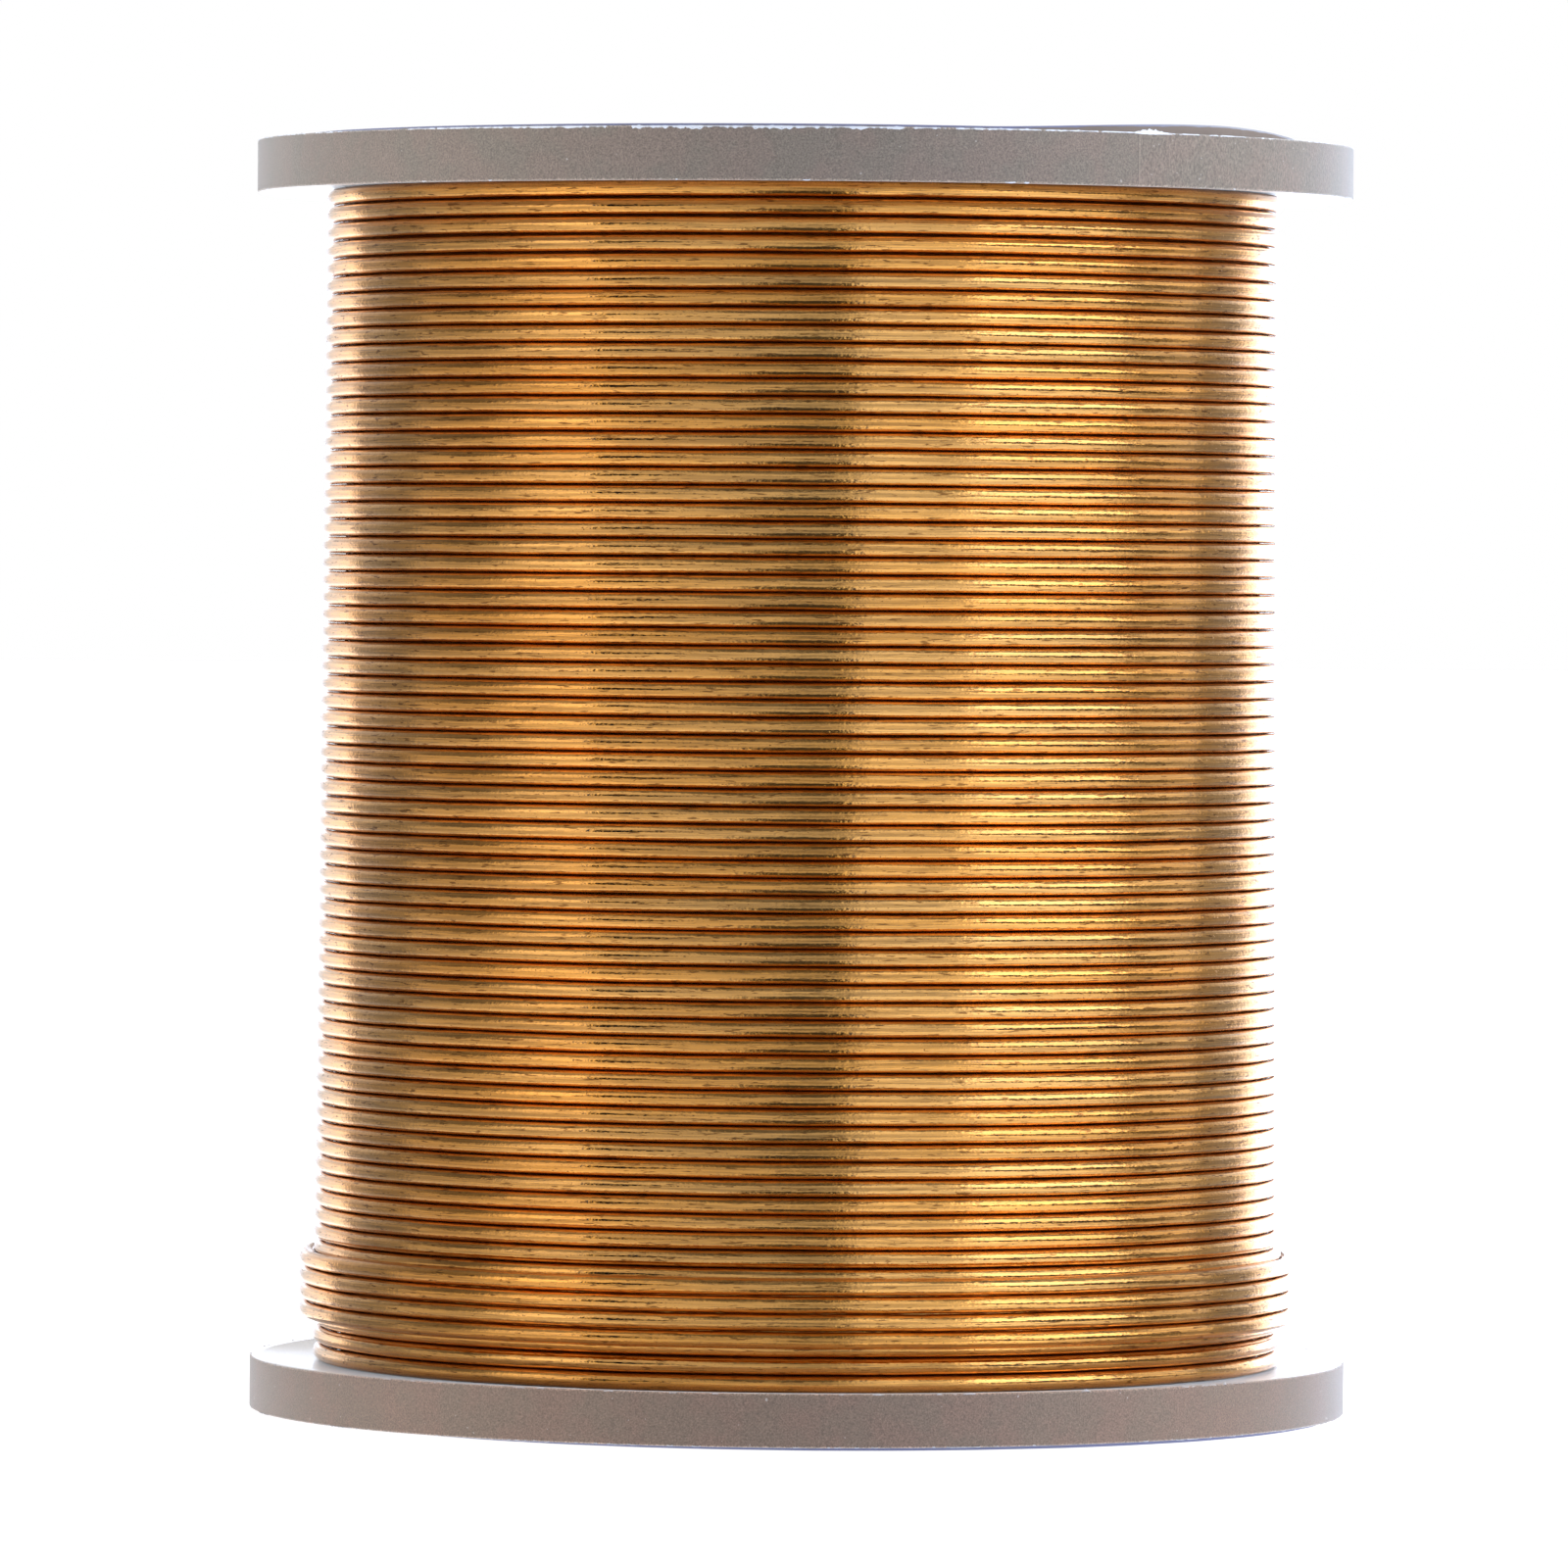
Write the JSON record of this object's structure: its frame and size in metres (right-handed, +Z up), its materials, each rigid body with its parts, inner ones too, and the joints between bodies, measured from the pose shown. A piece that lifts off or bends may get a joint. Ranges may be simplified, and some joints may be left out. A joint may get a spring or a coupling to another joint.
{
  "type": "wire spool",
  "caption": "Reel of enamelled winding wire: hollow barrel with hub bore, plugged-in disc flanges, close-wound wire with an unfinished top layer, bare paper labels on both ends.",
  "frame": {"origin": "centre of the spool's lower end, on the face of the lower label that the spool stands on", "axes": "+Z up along the spool's axis, +Y towards the back, where the turns cross over and the wire's ends lie"},
  "size_m": [0.04, 0.04, 0.0465],
  "materials": {
    "spool_plastic": "fine spark-eroded grain, warm mid grey",
    "label_paper": "bare coated paper with a blue-violet cut edge",
    "enamelled_wire": "drawn wire under clear amber enamel"
  },
  "bodies": {
    "root": {"barrel": "spool_plastic", "bottom_flange": "spool_plastic", "top_flange": "spool_plastic", "bottom_label": "label_paper", "top_label": "label_paper", "wire_start": "enamelled_wire", "wire_inner_layers": "enamelled_wire", "wire_outer_layer": "enamelled_wire", "wire_last_turns": "enamelled_wire", "wire_finish": "enamelled_wire"}
  },
  "joints": []
}
